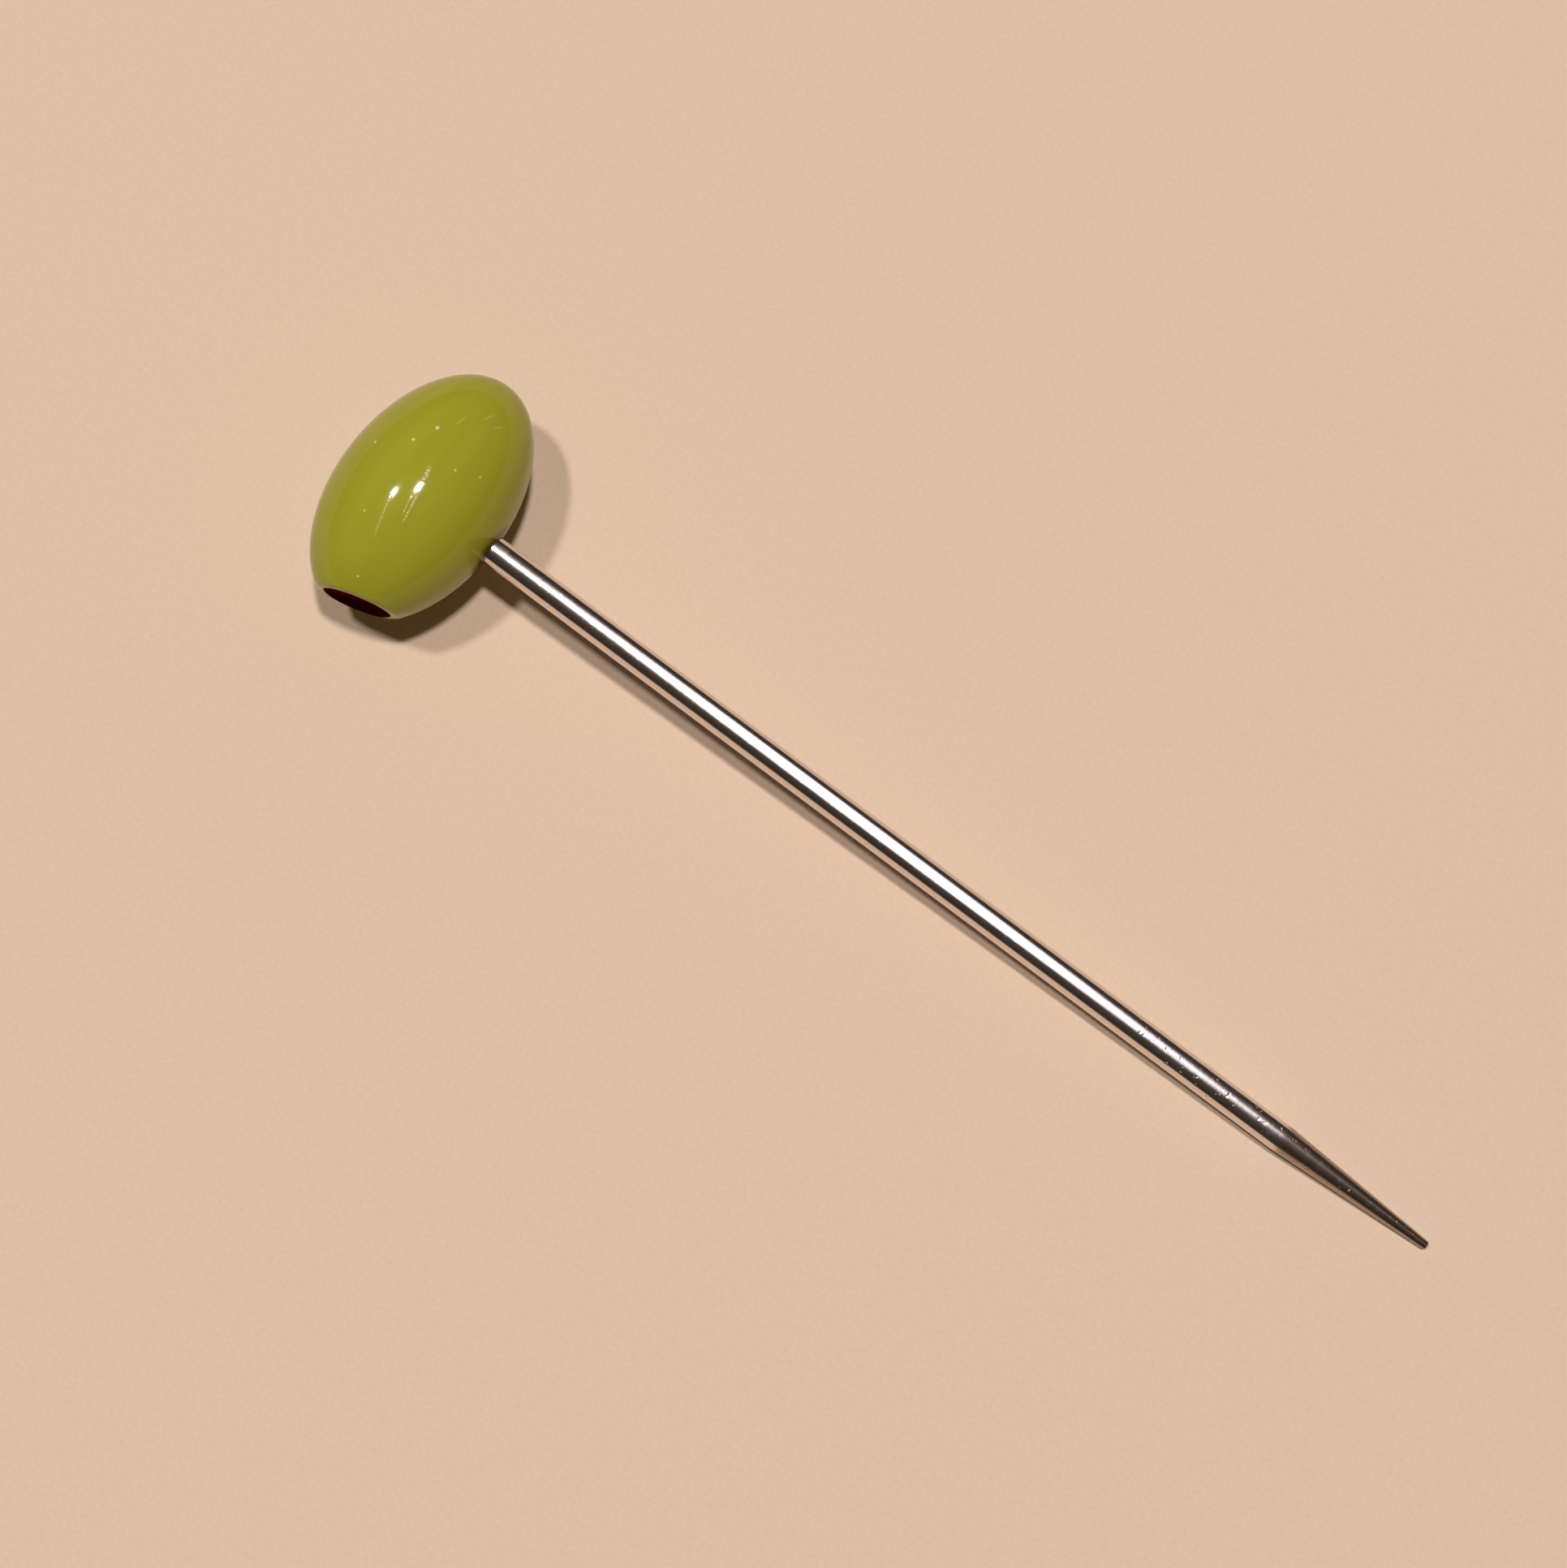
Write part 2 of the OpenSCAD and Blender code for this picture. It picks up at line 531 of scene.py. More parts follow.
    def bubble_mask(self, tree: Tree, local: Socket) -> Socket:
        """Adds a mask that is 1 in the middle of each open bubble and 0 off them.

        Args:
            tree: The material's tree.
            local: Place from the olive's middle, in millimetres.

        Returns:
            The mask.
        """
        mask: Any = 0.0
        for along, turn, radius in self.bubbles:
            place = self.bubble_place(along, turn)
            gap = add_node(tree, "VectorMath", {0: local, 1: place}, operation="DISTANCE")
            near = add_node(
                tree,
                "MapRange",
                {"Value": gap.outputs["Value"], **ends(0.0, radius, 1.0, 0.0)},
                **SMOOTH,
            )
            both = {0: mask, 1: near.outputs[0]}
            mask = add_node(tree, "Math", both, operation="MAXIMUM").outputs[0]
        return mask

    def worn_mask(self, tree: Tree, local: Socket) -> Socket:
        """Adds a mask that is 1 along the middle of each scuff and 0 off them.

        Args:
            tree: The material's tree.
            local: Place from the olive's middle, in millimetres.

        Returns:
            The mask.
        """
        mask: Any = 0.0
        for scuff in self.scuffs:
            strip = scuff.mask(tree, local)
            mask = add_node(tree, "Math", {0: mask, 1: strip}, operation="MAXIMUM").outputs[0]
        return mask

    def colour(self, tree: Tree, local: Socket, bubbles: Socket, worn: Socket) -> Socket:
        """Adds the glass's colour.

        Streaks run along the meridians. The bubbles are painted pale as glints, the scuffs a little
        paler, partly from wear and partly as painted highlight, and a painted shade for the shaft's
        shadow and dark reflection darkens the glass round the mouth of the shaft's socket.

        Args:
            tree: The material's tree.
            local: Place from the olive's middle, in millimetres.
            bubbles: The mask of the bubbles.
            worn: The mask of the scuffs.

        Returns:
            The colour.
        """
        flat = add_node(tree, "VectorMath", {0: local, 1: (1, 0, 1)}, operation="MULTIPLY")
        radial = add_node(tree, "VectorMath", {0: flat.outputs[0]}, operation="NORMALIZE")
        girth = add_node(
            tree,
            "VectorMath",
            {0: radial.outputs[0], "Scale": self.layout.olive_r},
            operation="SCALE",
        )
        along = add_node(
            tree, "VectorMath", {0: local, 1: (0, self.streak_stretch, 0)}, operation="MULTIPLY"
        )
        meridian = add_node(
            tree, "VectorMath", {0: girth.outputs[0], 1: along.outputs[0]}, operation="ADD"
        )
        scale = 1 / self.streak_width
        streaks = add_node(
            tree,
            "TexNoise",
            {"Vector": meridian.outputs[0], "Scale": scale, "Detail": 3.0, "Roughness": 0.5},
        )
        tint = add_node(tree, "ValToRGB", {"Fac": streaks.outputs["Fac"]})
        set_stops(tint, *zip(self.streak_stops, (self.deep, self.body, self.pale)))

        # Painted shade round the socket's mouth, for the shaft's shadow and dark reflection on the
        # glass
        mouth = self.layout.shaft_frame().to_3x3() @ Vector((self.layout.olive_r, 0, 0))
        gap = add_node(tree, "VectorMath", {0: local, 1: mouth}, operation="DISTANCE")
        shade_noise = add_node(
            tree, "TexNoise", {"Vector": local, "Scale": self.mouth_scale, "Detail": 2.0}
        )
        ragged = add_node(
            tree,
            "Math",
            {0: shade_noise.outputs["Fac"], 1: self.mouth_ragged, 2: gap.outputs["Value"]},
            operation="MULTIPLY_ADD",
        )
        start, end = (reach + self.mouth_ragged / 2 for reach in self.mouth_reach)
        dark = add_node(
            tree,
            "MapRange",
            {"Value": ragged.outputs[0], **ends(start, end, self.mouth_shade, 0.0)},
            **SMOOTH,
        )
        base, over = MIX_COLOURS
        shaded = add_node(
            tree,
            "Mix",
            {0: dark.outputs[0], base: tint.outputs["Color"], over: linear(self.shade)},
            data_type="RGBA",
        )
        # Painted glints: bubbles turn pale, scuffs paler, partly from wear and partly as painted
        # highlight
        wear_and_glint = add_node(tree, "Math", {0: worn, 1: self.wear_and_glint_paleness}, operation="MULTIPLY")
        marks = add_node(tree, "Math", {0: wear_and_glint.outputs[0], 1: bubbles}, operation="MAXIMUM")
        glint_painted = add_node(
            tree,
            "Mix",
            {0: marks.outputs[0], base: shaded.outputs[MIX_COLOUR_OUT], over: linear(self.speck)},
            data_type="RGBA",
        )
        return glint_painted.outputs[MIX_COLOUR_OUT]

    def relief(self, tree: Tree, local: Socket, bubbles: Socket, worn: Socket) -> Socket:
        """Adds the surface's relief: soft waves, scuffs with fine scratches, and open bubbles.

        Args:
            tree: The material's tree.
            local: Place from the olive's middle, in millimetres.
            bubbles: The mask of the bubbles.
            worn: The mask of the scuffs.

        Returns:
            The height in millimetres.
        """
        waves = add_node(
            tree,
            "TexNoise",
            {"Vector": local, "Scale": 1 / self.wave_length, "Detail": 1.0, "Roughness": 0.4},
        )
        height = add_node(
            tree, "Math", {0: waves.outputs["Fac"], 1: self.wave_height}, operation="MULTIPLY"
        ).outputs[0]
        fine, drawn = 1 / self.scratch_pitch, self.scratch_length / self.scratch_pitch
        squeezed = add_node(
            tree, "VectorMath", {0: local, 1: (drawn, fine, drawn)}, operation="MULTIPLY"
        )
        scratches = add_node(
            tree, "TexNoise", {"Vector": squeezed.outputs[0], "Scale": 1.0, "Detail": 1.0}
        )
        depth = add_node(tree, "Math", {0: worn, 1: self.scratch_height}, operation="MULTIPLY")
        height = add_node(
            tree,
            "Math",
            {0: scratches.outputs["Fac"], 1: depth.outputs[0], 2: height},
            operation="MULTIPLY_ADD",
        ).outputs[0]
        return add_node(
            tree, "Math", {0: bubbles, 1: -self.bubble_depth, 2: height}, operation="MULTIPLY_ADD"
        ).outputs[0]


@dataclass(frozen=True)
class PlugEnamel:
    """Dark red glass enamel, filled in as a paste and fired.

    It is dull, near black in the middle and a clearer red towards its edge.
    """

    cut: CutEnd
    edge: str = "4a070a"
    middle: str = "260305"
    ior: float = 1.45
    specular: float = 0.0
    gloss: tuple[float, float] = (0.40, 0.55)
    mottle_scale: float = 0.8
    # Distances from the middle between which the colour turns to the edge's, and their raggedness
    edge_reach: tuple[float, float] = (2.2, 3.3)
    edge_ragged: float = 0.9
    wave_length: float = 1.4
    wave_height: float = 0.006

    def build(self) -> bpy.types.Material:
        """Builds the material.

        Returns:
            The material.
        """
        material, tree, shader = blank_material("pimento_red_enamel")
        local = place_from(tree, self.cut.frame().translation)
        mottle = add_node(
            tree, "TexNoise", {"Vector": local, "Scale": self.mottle_scale, "Detail": 3.0}
        )
        reach = add_node(tree, "VectorMath", {0: local}, operation="LENGTH")
        spread = add_node(
            tree,
            "Math",
            {0: mottle.outputs["Fac"], 1: self.edge_ragged, 2: reach.outputs["Value"]},
            operation="MULTIPLY_ADD",
        )
        rim = add_node(
            tree, "MapRange", {"Value": spread.outputs[0], **ends(*self.edge_reach)}, **SMOOTH
        )
        tint = add_node(tree, "ValToRGB", {"Fac": rim.outputs[0]})
        set_stops(tint, (0.0, self.middle), (1.0, self.edge))
        tree.links.new(tint.outputs["Color"], shader.inputs["Base Color"])
        gloss = add_node(
            tree, "MapRange", {"Value": mottle.outputs["Fac"], **ends(*NOISE_SPAN, *self.gloss)}
        )
        tree.links.new(gloss.outputs[0], shader.inputs["Roughness"])
        shader.inputs["IOR"].default_value = self.ior
        shader.inputs["Specular IOR Level"].default_value = self.specular
        waves = add_node(
            tree, "TexNoise", {"Vector": local, "Scale": 1 / self.wave_length, "Detail": 2.0}
        )
        height = add_node(
            tree, "Math", {0: waves.outputs["Fac"], 1: self.wave_height}, operation="MULTIPLY"
        ).outputs[0]
        bump = add_node(tree, "Bump", {"Height": height, "Strength": 1.0, "Distance": MM})
        tree.links.new(bump.outputs["Normal"], shader.inputs["Normal"])
        return material


@dataclass(frozen=True)
class BrightSteel:
    """Stainless steel rod, drawn and then buffed.

    It is mirror-like, with a highlight that spreads across it and has a slightly ragged edge. The
    point is ground and left duller, with open specks. The rod's colour has a warm tint and the
    point's a darker, browner one: both tints are a painted reflection of the warm, dim room.
    """

    layout: Layout
    point_start: float
    # Painted reflection of the dim, warm room: rod tinted warm, point darker and browner
    bright: str = "e6dcd6"
    ground: str = "a8988b"
    # Least roughness of the rod and of the point, to which the clouds add
    rod_roughness: float = 0.14
    point_roughness: float = 0.23
    anisotropy: float = 0.4
    # Part of a full turn that lays the spread of highlights across the shaft
    across: float = 0.25
    # Where the steel turns duller, from the start of the point, and how ragged that line is
    shoulder: tuple[float, float] = (-0.1, 0.9)
    shoulder_ragged: float = 0.7
    shoulder_scale: float = 1.2
    cloud_scale: float = 0.7
    cloud_roughness: float = 0.05
    # Real buffing rings are about 0.02 mm apart. They are drawn coarser so that they show
    ring_pitch: float = 0.30
    ring_spread: float = 1.2
    ring_height: float = 0.004
    # Real grinding marks are as fine as the rings. They too are drawn coarser so that they show
    grind_pitch: float = 0.22
    grind_spread: float = 0.35
    grind_height: float = 0.0020
    speck_spacing: float = 0.6
    speck_r: float = 0.24
    speck_depth: float = 0.035
    # Distances before the point at which specks begin and are at their deepest
    speck_zone: tuple[float, float] = (18.0, 8.0)

    def build(self) -> bpy.types.Material:
        """Builds the material.

        Returns:
            The material.
        """
        material, tree, shader = blank_material("buffed_stainless_steel")
        local = place_from(tree, self.layout.olive_middle, slope=self.layout.slope)
        along = add_node(tree, "SeparateXYZ", {0: local}).outputs[0]
        uneven = add_node(
            tree, "TexNoise", {"Vector": local, "Scale": self.shoulder_scale, "Detail": 2.0}
        )
        shifted = add_node(
            tree,
            "Math",
            {0: uneven.outputs["Fac"], 1: self.shoulder_ragged, 2: along},
            operation="MULTIPLY_ADD",
        )
        start, end = (self.point_start + ahead for ahead in self.shoulder)
        point = add_node(
            tree, "MapRange", {"Value": shifted.outputs[0], **ends(start, end)}, **SMOOTH
        ).outputs[0]

        # Painted reflection: the rod's warm tint turns to the point's darker, browner tint
        base, over = MIX_COLOURS
        tint = add_node(
            tree,
            "Mix",
            {"Factor": point, base: linear(self.bright), over: linear(self.ground)},
            data_type="RGBA",
        )
        tree.links.new(tint.outputs[MIX_COLOUR_OUT], shader.inputs["Base Color"])
        shader.inputs["Metallic"].default_value = 1.0
        shader.inputs["Anisotropic"].default_value = self.anisotropy
        shader.inputs["Anisotropic Rotation"].default_value = self.across

        cloud = add_node(
            tree, "TexNoise", {"Vector": local, "Scale": self.cloud_scale, "Detail": 3.0}
        )
        dull = add_node(
            tree,
            "MapRange",
            {"Value": point, "To Min": self.rod_roughness, "To Max": self.point_roughness},
        )
        rough = add_node(
            tree,
            "Math",
            {0: cloud.outputs["Fac"], 1: self.cloud_roughness, 2: dull.outputs[0]},
            operation="MULTIPLY_ADD",
        )
        tree.links.new(rough.outputs[0], shader.inputs["Roughness"])

        axis = self.layout.shaft_frame().to_3x3() @ Vector((1, 0, 0))
        spread = add_node(tree, "CombineXYZ", {0: axis.x, 1: axis.y, 2: axis.z})
        tree.links.new(spread.outputs[0], shader.inputs["Tangent"])

        height = self.relief(tree, local, point)
        bump = add_node(tree, "Bump", {"Height": height, "Strength": 1.0, "Distance": MM})
        tree.links.new(bump.outputs["Normal"], shader.inputs["Normal"])
        return material

    def relief(self, tree: Tree, local: Socket, point: Socket) -> Socket:
        """Adds the relief: rings round the rod, grinding marks on the point, and specks near it.

        Args:
            tree: The material's tree.
            local: Place from the olive's middle with X along the shaft, in millimetres.
            point: 0 on the rod and 1 on the ground point.

        Returns:
            The height in millimetres.
        """
        ring_place = add_node(
            tree,
            "VectorMath",
            {0: local, 1: (1 / self.ring_pitch, self.ring_spread, self.ring_spread)},
            operation="MULTIPLY",
        )
        rings = add_node(
            tree, "TexNoise", {"Vector": ring_place.outputs[0], "Scale": 1.0, "Detail": 3.0}
        )
        height = add_node(
            tree, "Math", {0: rings.outputs["Fac"], 1: self.ring_height}, operation="MULTIPLY"
        ).outputs[0]
        grind_place = add_node(
            tree,
            "VectorMath",
            {0: local, 1: (self.grind_spread, 1 / self.grind_pitch, 1 / self.grind_pitch)},
            operation="MULTIPLY",
        )
        grind = add_node(
            tree, "TexNoise", {"Vector": grind_place.outputs[0], "Scale": 1.0, "Detail": 2.0}
        )
        marks = add_node(
            tree, "Math", {0: grind.outputs["Fac"], 1: self.grind_height}, operation="MULTIPLY"
        )
        height = add_node(
            tree, "Math", {0: marks.outputs[0], 1: point, 2: height}, operation="MULTIPLY_ADD"
        ).outputs[0]
        cells = add_node(tree, "TexVoronoi", {"Vector": local, "Scale": 1 / self.speck_spacing})
        speck = add_node(
            tree,
            "MapRange",
            {"Value": cells.outputs["Distance"], **ends(0.0, self.speck_r, 1.0, 0.0)},
            **SMOOTH,
        )
        along = add_node(tree, "SeparateXYZ", {0: local}).outputs[0]
        start, end = (self.point_start - before for before in self.speck_zone)
        zone = add_node(
            tree, "MapRange", {"Value": along, **ends(start, end, 0.0, -self.speck_depth)}, **SMOOTH
        )
        return add_node(
            tree,
            "Math",
            {0: speck.outputs[0], 1: zone.outputs[0], 2: height},
            operation="MULTIPLY_ADD",
        ).outputs[0]


@dataclass(frozen=True)
class Epoxy:
    """Clear two-part epoxy, cured: slightly amber, glossy, with fine trapped bubbles."""

    tone: str = "6b5a3a"
    bubble: str = "a08c62"
    bubble_spacing: float = 0.25
    # Where the bubbles' paler tint ends, as a share of their spacing
    bubble_r: float = 0.45
    bubble_height: float = 0.01
    bubble_strength: float = 0.4
    roughness: float = 0.18
    ior: float = 1.55

    def build(self) -> bpy.types.Material:
        """Builds the material.

        Returns:
            The material.
        """
        material, tree, shader = blank_material("amber_epoxy")
        local = place_from(tree, Vector(), self.bubble_spacing)
        cells = add_node(tree, "TexVoronoi", {"Vector": local, "Scale": 1.0})
        tint = add_node(tree, "ValToRGB", {"Fac": cells.outputs["Distance"]})
        set_stops(tint, (0.0, self.bubble), (self.bubble_r, self.tone))
        tree.links.new(tint.outputs["Color"], shader.inputs["Base Color"])
        shader.inputs["Roughness"].default_value = self.roughness
        shader.inputs["IOR"].default_value = self.ior
        height, strength = self.bubble_height * MM, self.bubble_strength
        domes = {"Height": cells.outputs["Distance"], "Strength": strength, "Distance": height}
        bump = add_node(tree, "Bump", domes)
        tree.links.new(bump.outputs["Normal"], shader.inputs["Normal"])
        return material


@dataclass(frozen=True)
class MattCard:
    """Uncoated card, pale and warm: quite matt, with a faint grain of fibres."""

    tone: str = "e6cfbd"
    fleck: str = "e2cab8"
    fleck_stops: tuple[float, float] = (0.35, 0.65)
    # Real fibres are about 0.03 mm thick. They are drawn coarser so that they show
    fibre: float = 0.35
    fibre_height: float = 0.008
    roughness: float = 0.85
    specular: float = 0.25

    def build(self) -> bpy.types.Material:
        """Builds the material.

        Returns:
            The material.
        """
        material, tree, shader = blank_material("pale_matt_card")
        local = place_from(tree, Vector(), self.fibre)
        grain = add_node(tree, "TexNoise", {"Vector": local, "Scale": 1.0, "Detail": 4.0})
        tint = add_node(tree, "ValToRGB", {"Fac": grain.outputs["Fac"]})
        set_stops(tint, *zip(self.fleck_stops, (self.fleck, self.tone)))
        tree.links.new(tint.outputs["Color"], shader.inputs["Base Color"])
        shader.inputs["Roughness"].default_value = self.roughness
        shader.inputs["Specular IOR Level"].default_value = self.specular
        height = self.fibre_height * MM
        fibres = {"Height": grain.outputs["Fac"], "Strength": 1.0, "Distance": height}
        bump = add_node(tree, "Bump", fibres)
        tree.links.new(bump.outputs["Normal"], shader.inputs["Normal"])
        return material


@dataclass
class OliveHead:
    """The glass olive.

    It is an oval body with one end ground across, a hole in the cut face for the plug and a hole
    in its side for the shaft.
    """

    layout: Layout
    cut: CutEnd
    rim_r: float = 1.0
    rim_turn: float = 40.0
    rim_steps: int = 8
    mouth_r: float = 0.07
    mouth_steps: int = 4
    recess_depth: float = 3.08
    # Rings of the recess's wall, from its mouth and from its floor, that keep its shading flat
    wall_ring: float = 0.5
    floor_ring: float = 0.1
    socket_r: float = 1.30
    socket_end: float = -1.95
    # How far the drill for the socket starts outside the olive
    drill_clearance: float = 2.0
    segments: int = 144
    rings: int = 112
    socket_segments: int = 72

    def body(self) -> Solid:
        """Makes the oval body in the olive's frame, open where the rounding of the rim starts.

        The body is a ball whose pole faces the cut, so that the cut runs along one of its rings.
        It is then stretched to the oval.

        Returns:
            The open body.
        """
        lay, lean = self.layout, self.layout.end_tilt
        pole = math.atan2(lay.olive_r * math.sin(lean), lay.olive_half * math.cos(lean))
        shoulder = self.rim_r * (1 - math.cos(math.radians(self.rim_turn)))
        facing = Vector((math.sin(pole), 0, math.cos(pole)))
        bm = bmesh.new()
        bmesh.ops.create_uvsphere(bm, u_segments=self.segments, v_segments=self.rings, radius=1.0)
        bmesh.ops.rotate(bm, verts=bm.verts, cent=(0, 0, 0), matrix=Matrix.Rotation(pole, 3, "Y"))
        bmesh.ops.bisect_plane(
            bm,
            geom=bm.verts[:] + bm.edges[:] + bm.faces[:],
            dist=CUT_MARGIN,
            plane_co=facing * (self.cut.distance - shoulder) / self.cut.support,
            plane_no=facing,
            clear_outer=True,
        )
        bmesh.ops.scale(bm, verts=bm.verts, vec=(lay.olive_r, lay.olive_r, lay.olive_half))
        return bm

    def rim_profile(self) -> list[tuple[float, float]]:
        """Gives the rings from the side of the olive, over the rim and into the plug's hole.

        Returns:
            Each ring's radius and its height from the plane of the cut.
        """
        recess_r, mouth_r, depth = self.cut.recess_r, self.mouth_r, self.recess_depth
        flat_r = recess_r + self.cut.rim_w - self.rim_r * math.tan(math.radians(self.rim_turn / 2))
        outer = arc((flat_r, -self.rim_r), self.rim_r, 90 - self.rim_turn, 90, self.rim_steps)[1:]
        inner = arc((recess_r + mouth_r, -mouth_r), mouth_r, 90, 180, self.mouth_steps)
        levels = (-self.wall_ring, -depth + self.floor_ring, -depth)
        return outer + inner + [(recess_r, level) for level in levels]

    def close_end(self, bm: Solid) -> None:
        """Draws the rim and the wall of the plug's hole from the open edge, and closes the hole.

        The open edge is a slightly oval ring, a little off the plug's axis. Each ring of the rim is
        rounder and nearer to the axis than the one before.

        Args:
            bm: The open body, in the cut face's frame.
        """
        ring = [edge for edge in bm.edges if edge.is_boundary]
        verts = list({vert for edge in ring for vert in edge.verts})
        low_x, high_x = min(v.co.x for v in verts), max(v.co.x for v in verts)
        low_y, high_y = min(v.co.y for v in verts), max(v.co.y for v in verts)
        half_x, half_y, height = (high_x - low_x) / 2, (high_y - low_y) / 2, verts[0].co.z
        oval, edge_offset = half_x / half_y - 1, (high_x + low_x) / 2
        offset = edge_offset
        for step, (radius, level) in enumerate(self.rim_profile(), start=1):
            fade = max(0.0, 1 - step / self.rim_steps)
            made = bmesh.ops.extrude_edge_only(bm, edges=ring)["geom"]
            edges = [item for item in made if isinstance(item, bmesh.types.BMEdge)]
            ring = [edge for edge in edges if edge.is_boundary]
            verts = list({vert for edge in ring for vert in edge.verts})
            next_x, next_offset = radius * (1 + oval * fade), edge_offset * fade
            bmesh.ops.scale(
                bm,
                verts=verts,
                vec=(next_x / half_x, radius / half_y, 1),
                space=Matrix.Translation((-offset, 0, 0)),
            )
            bmesh.ops.translate(bm, verts=verts, vec=(next_offset - offset, 0, level - height))
            half_x, half_y, height, offset = next_x, radius, level, next_offset
        bmesh.ops.contextual_create(bm, geom=ring)

    def build(self, finish: OliveGlass) -> bpy.types.Object:
        """Builds and dresses the olive.

        Args:
            finish: Its glass.

        Returns:
            The piece.
        """
        bm = self.body()
        bmesh.ops.transform(bm, matrix=self.cut.local_frame().inverted(), verts=bm.verts)
        self.close_end(bm)
        bmesh.ops.recalc_face_normals(bm, faces=bm.faces)
        solid = placed_object(bm, "olive_head", self.cut.frame())
        drill = self.drill()
        cutting = solid.modifiers.new("socket", "BOOLEAN")
        cutting.operation, cutting.solver, cutting.object = "DIFFERENCE", "EXACT", drill
        evaluated = solid.evaluated_get(bpy.context.evaluated_depsgraph_get())
        drilled = bpy.data.meshes.new_from_object(evaluated)
        bpy.data.objects.remove(drill)
        bpy.data.objects.remove(solid)
        bm = bmesh.new()
        bm.from_mesh(drilled)
        bpy.data.meshes.remove(drilled)
        piece = placed_object(bm, "olive_head_glass", Matrix.Scale(1 / MM, 4), crease=35.0)
        declare(piece, "olive", finish.build())
        return piece

    def drill(self) -> bpy.types.Object:
        """Makes the cutter for the shaft's socket.

        Returns:
            A rod along the shaft's axis, from outside the olive to the end of the socket.
        """
        depth = self.layout.olive_r + self.drill_clearance - self.socket_end
        bm = bmesh.new()
        bmesh.ops.create_cone(
            bm,
            cap_ends=True,
            segments=self.socket_segments,
            radius1=self.socket_r,
            radius2=self.socket_r,
            depth=depth,
        )
        place = self.layout.shaft_frame() @ Matrix.Translation((self.socket_end + depth / 2, 0, 0))
        return placed_object(bm, "socket_drill", place @ Matrix.Rotation(math.pi / 2, 4, "Y"))


@dataclass
class PimentoPlug:
    """The red plug of glass enamel, with a softened rim and a slightly bulging face."""

    cut: CutEnd
    length: float = 3.0
    back_chamfer: float = 0.15
    proud: float = 0.1
    crown: float = 0.15
    edge_r: float = 0.2
    edge_steps: int = 8
    crown_steps: int = 12
    segments: int = 112

    def build(self, finish: PlugEnamel) -> bpy.types.Object:
        """Builds and dresses the plug.

        Args:
            finish: Its enamel.

        Returns:
            The piece.
        """
        radius, back, chamfer = self.cut.plug_d / 2, -self.length, self.back_chamfer
        flat = radius - self.edge_r
        profile = [(0.0, back), (radius - chamfer, back), (radius, back + chamfer)]
        profile += arc((flat, self.proud - self.edge_r), self.edge_r, 0, 90, self.edge_steps)
        for i in range(1, self.crown_steps + 1):
            share = 1 - i / self.crown_steps
            profile.append((flat * share, self.proud + self.crown * (1 - share**2)))
        solid = turned(profile, self.segments)
        piece = placed_object(solid, "pimento_plug_glass", self.cut.frame())
        declare(piece, "pimento_plug", finish.build())
        return piece


@dataclass
class Shaft:
    """The steel shaft: a straight rod, ring grooves in its hidden end and a blunt ground point."""

    layout: Layout
    diameter: float = 2.44
    point_len: float = 14.8
    tail: float = -1.65
    tail_chamfer: float = 0.3
    groove_w: float = 0.8
    groove_depth: float = 0.2
    groove_pitch: float = 2.4
    groove_inset: float = 0.1
    grooves: int = 3
    shoulder_blend: float = 0.25
    # Rings this far from the shoulder keep the rod's and the point's shading straight
    shoulder_ring: float = 2.0
    edge_steps: int = 6
    segments: int = 96

    @property
    def point_start(self) -> float:
        """Distance from the olive's middle to the start of the point."""
        return self.layout.reach - self.point_len

    def profile(self) -> list[tuple[float, float]]:
        """Gives the rod's half outline, from its hidden end to its point.

        Returns:
            Radius and distance along the shaft of each point.
        """
        radius, lay, chamfer = self.diameter / 2, self.layout, self.tail_chamfer
        points = [(0.0, self.tail), (radius - chamfer, self.tail), (radius, self.tail + chamfer)]
        for i in reversed(range(self.grooves)):
            high = lay.olive_r - self.groove_inset - self.groove_pitch * i
            low = high - self.groove_w
            floor = radius - self.groove_depth
            points += [(radius, low), (floor, low), (floor, high), (radius, high)]
        tip_r = lay.tip_d / 2
        fall = (radius - tip_r) / self.point_len
        start, blend, far = self.point_start, self.shoulder_blend, self.shoulder_ring
        # The middle of the curve that blends the rod into the point is down a quarter of its fall
        points += [(radius, start - far), (radius, start - blend)]
        points += [(radius - blend * fall / 4, start)]
        points += [(radius - blend * fall, start + blend), (radius - far * fall, start + far)]
        edge_r = lay.tip_edge_r
        points += arc((tip_r - edge_r, lay.reach - edge_r), edge_r, 0, 90, self.edge_steps)
        return points + [(0.0, lay.reach)]

    def build(self, finish: BrightSteel) -> bpy.types.Object:
        """Builds and dresses the shaft.

        Args:
            finish: Its steel.

        Returns:
            The piece.
        """
        place = self.layout.shaft_frame() @ Matrix.Rotation(math.pi / 2, 4, "Y")
        piece = placed_object(turned(self.profile(), self.segments), "shaft_steel", place)
        declare(piece, "shaft", finish.build())
        return piece


@dataclass
class BondLines:
    """The two thin fillings of adhesive, which keep their CAD shapes."""

    nodes: tuple[str, ...] = ("shaft_adhesive", "plug_adhesive")

    def dress(self, finish: Epoxy) -> None:
        """Gives both fillings their finish.

        Args:
            finish: The adhesive.
        """
        material = finish.build()
        for name in self.nodes:
            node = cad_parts[name]
            node.data.materials.clear()
            node.data.materials.append(material)
            LOG.info("%s: dressed", name)


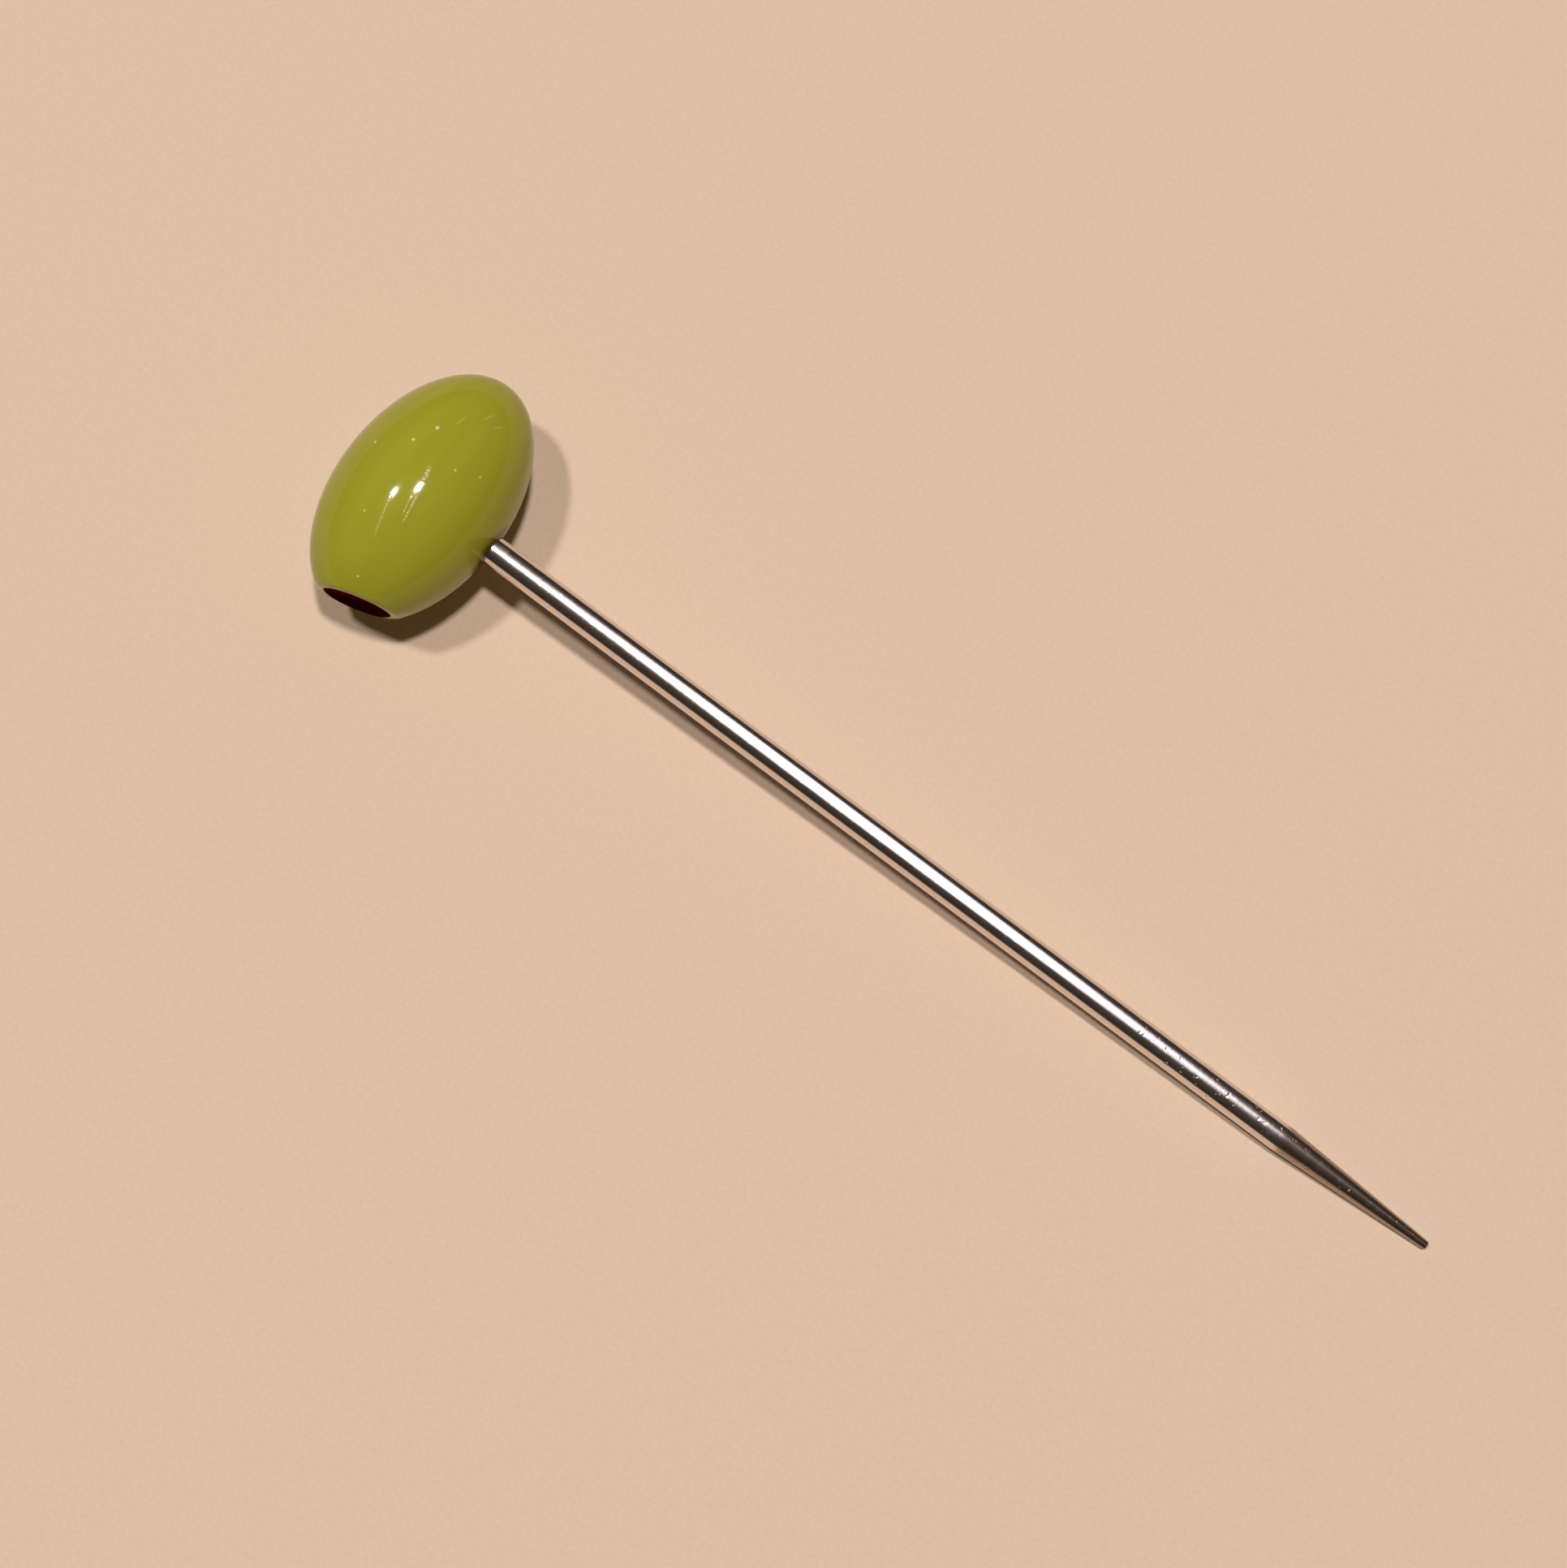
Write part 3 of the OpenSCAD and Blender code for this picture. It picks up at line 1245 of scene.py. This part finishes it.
@dataclass(frozen=True)
class Lamp:
    """A rectangular or oval soft box that faces the olive, and may light one piece alone.

    It has the direction to it from the olive, its distance and its size in metres, and its power.
    """

    name: str
    towards: tuple[float, float, float]
    distance: float
    size: tuple[float, float]
    watts: float
    tint: str = "fff6ea"
    shape: LampShape = LampShape.RECTANGLE
    lit: str = ""

    def build(self, aim: Vector, pieces: dict[str, bpy.types.Object]) -> None:
        """Places the lamp.

        Args:
            aim: The point that it faces, in metres.
            pieces: The pieces by name, from which the only one that it lights is picked.
        """
        light = bpy.data.lights.new(self.name, "AREA")
        light.shape = self.shape.value
        light.size, light.size_y = self.size
        light.energy, light.color = self.watts, linear(self.tint)[:3]
        lamp = bpy.data.objects.new(self.name, light)
        away = Vector(self.towards).normalized()
        lamp.location = aim + away * self.distance
        side = Vector((0, 1, 0)).cross(away).normalized()
        lamp.rotation_mode = "QUATERNION"
        turn = Matrix((side, away.cross(side), away)).transposed()
        lamp.rotation_quaternion = turn.to_quaternion()
        bpy.context.scene.collection.objects.link(lamp)
        if self.lit:
            lit = bpy.data.collections.new(f"{self.name}_lights")
            lit.objects.link(pieces[self.lit])
            lamp.light_linking.receiver_collection = lit


@dataclass
class Studio:
    """Table, soft light and camera."""

    layout: Layout
    table_side: float = 1.6
    sky: str = "3e3631"
    wall: str = "2a211c"
    # Rise of a direction, from level to straight up, at which the wall ends and the sky begins
    room_stops: tuple[float, float] = (0.10, 0.65)
    lens: float = 59.66
    sensor: float = 36.0
    clip: tuple[float, float] = (0.005, 10.0)
    camera_place: tuple[float, float, float] = (-0.89, -36.77, 210.13)
    camera_forward: tuple[float, float, float] = (-0.04385, 0.16926, -0.98459)
    camera_up: tuple[float, float, float] = (-0.58801, 0.79238, 0.16241)
    lamps: tuple[Lamp, ...] = field(
        default_factory=lambda: (
            Lamp("soft_box_left", (-0.361, -0.066, 0.93), 3.0, (0.21, 0.21), 33.0),
            Lamp("soft_box_top", (0.004, 0.096, 0.995), 3.0, (0.21, 0.21), 50.0),
            Lamp(
                "shaft_scrim", (0.175, 0.223, 0.96), 1.0, (0.41, 1.5), 2.4, "f8f4ff",
                LampShape.OVAL, lit="shaft_steel",
            ),
            Lamp(
                "point_card", (0.48, 0.2, 0.85), 1.0, (0.45, 0.3), 0.11, "f2e8e6",
                LampShape.OVAL, lit="shaft_steel",
            ),
        )
    )

    def table(self, finish: MattCard) -> None:
        """Lays the table.

        Args:
            finish: Its card.
        """
        bm = bmesh.new()
        bmesh.ops.create_grid(bm, x_segments=1, y_segments=1, size=self.table_side / 2)
        top = placed_object(bm, "table_card", Matrix.Scale(1 / MM, 4))
        top.data.materials.append(finish.build())

    def light(self, pieces: dict[str, bpy.types.Object]) -> None:
        """Hangs the lamps and sets the dim room, which is darker near the table than overhead.

        Args:
            pieces: The pieces by name.
        """
        world = bpy.data.worlds.new("room")
        bpy.context.scene.world = world
        world.use_nodes = True
        tree = world.node_tree
        coords = add_node(tree, "TexCoord")
        rise = add_node(tree, "SeparateXYZ", {0: coords.outputs["Generated"]})
        ramp = add_node(tree, "ValToRGB", {"Fac": rise.outputs["Z"]})
        set_stops(ramp, *zip(self.room_stops, (self.wall, self.sky)))
        tree.links.new(ramp.outputs["Color"], tree.nodes["Background"].inputs["Color"])
        for lamp in self.lamps:
            lamp.build(self.layout.olive_middle * MM, pieces)

    def camera(self) -> None:
        """Sets up the camera and shows colours as they are."""
        data = bpy.data.cameras.new("camera")
        data.lens, data.sensor_width, data.sensor_fit = self.lens, self.sensor, "HORIZONTAL"
        data.clip_start, data.clip_end = self.clip
        camera = bpy.data.objects.new("camera", data)
        forward = Vector(self.camera_forward).normalized()
        right = forward.cross(Vector(self.camera_up)).normalized()
        up = right.cross(forward)
        turn = Matrix((right, up, -forward)).transposed()
        camera.matrix_world = Matrix.Translation(Vector(self.camera_place) * MM) @ turn.to_4x4()
        bpy.context.scene.collection.objects.link(camera)
        bpy.context.scene.camera = camera
        bpy.context.scene.view_settings.view_transform = "Standard"


def write_sizes() -> None:
    """Brings the view layer up to date."""
    bpy.context.view_layer.update()


def main() -> None:
    """Builds the pick on its table."""
    logging.basicConfig(level=logging.INFO, format="%(name)s %(message)s")
    layout = Layout()
    cut = CutEnd(layout)
    shaft = Shaft(layout)
    built = [
        shaft.build(BrightSteel(layout, shaft.point_start)),
        OliveHead(layout, cut).build(OliveGlass(layout)),
        PimentoPlug(cut).build(PlugEnamel(cut)),
    ]
    pieces = {piece.name: piece for piece in built}
    BondLines().dress(Epoxy())
    studio = Studio(layout)
    studio.table(MattCard())
    studio.light(pieces)
    studio.camera()
    write_sizes()


if __name__ == "__main__":
    main()
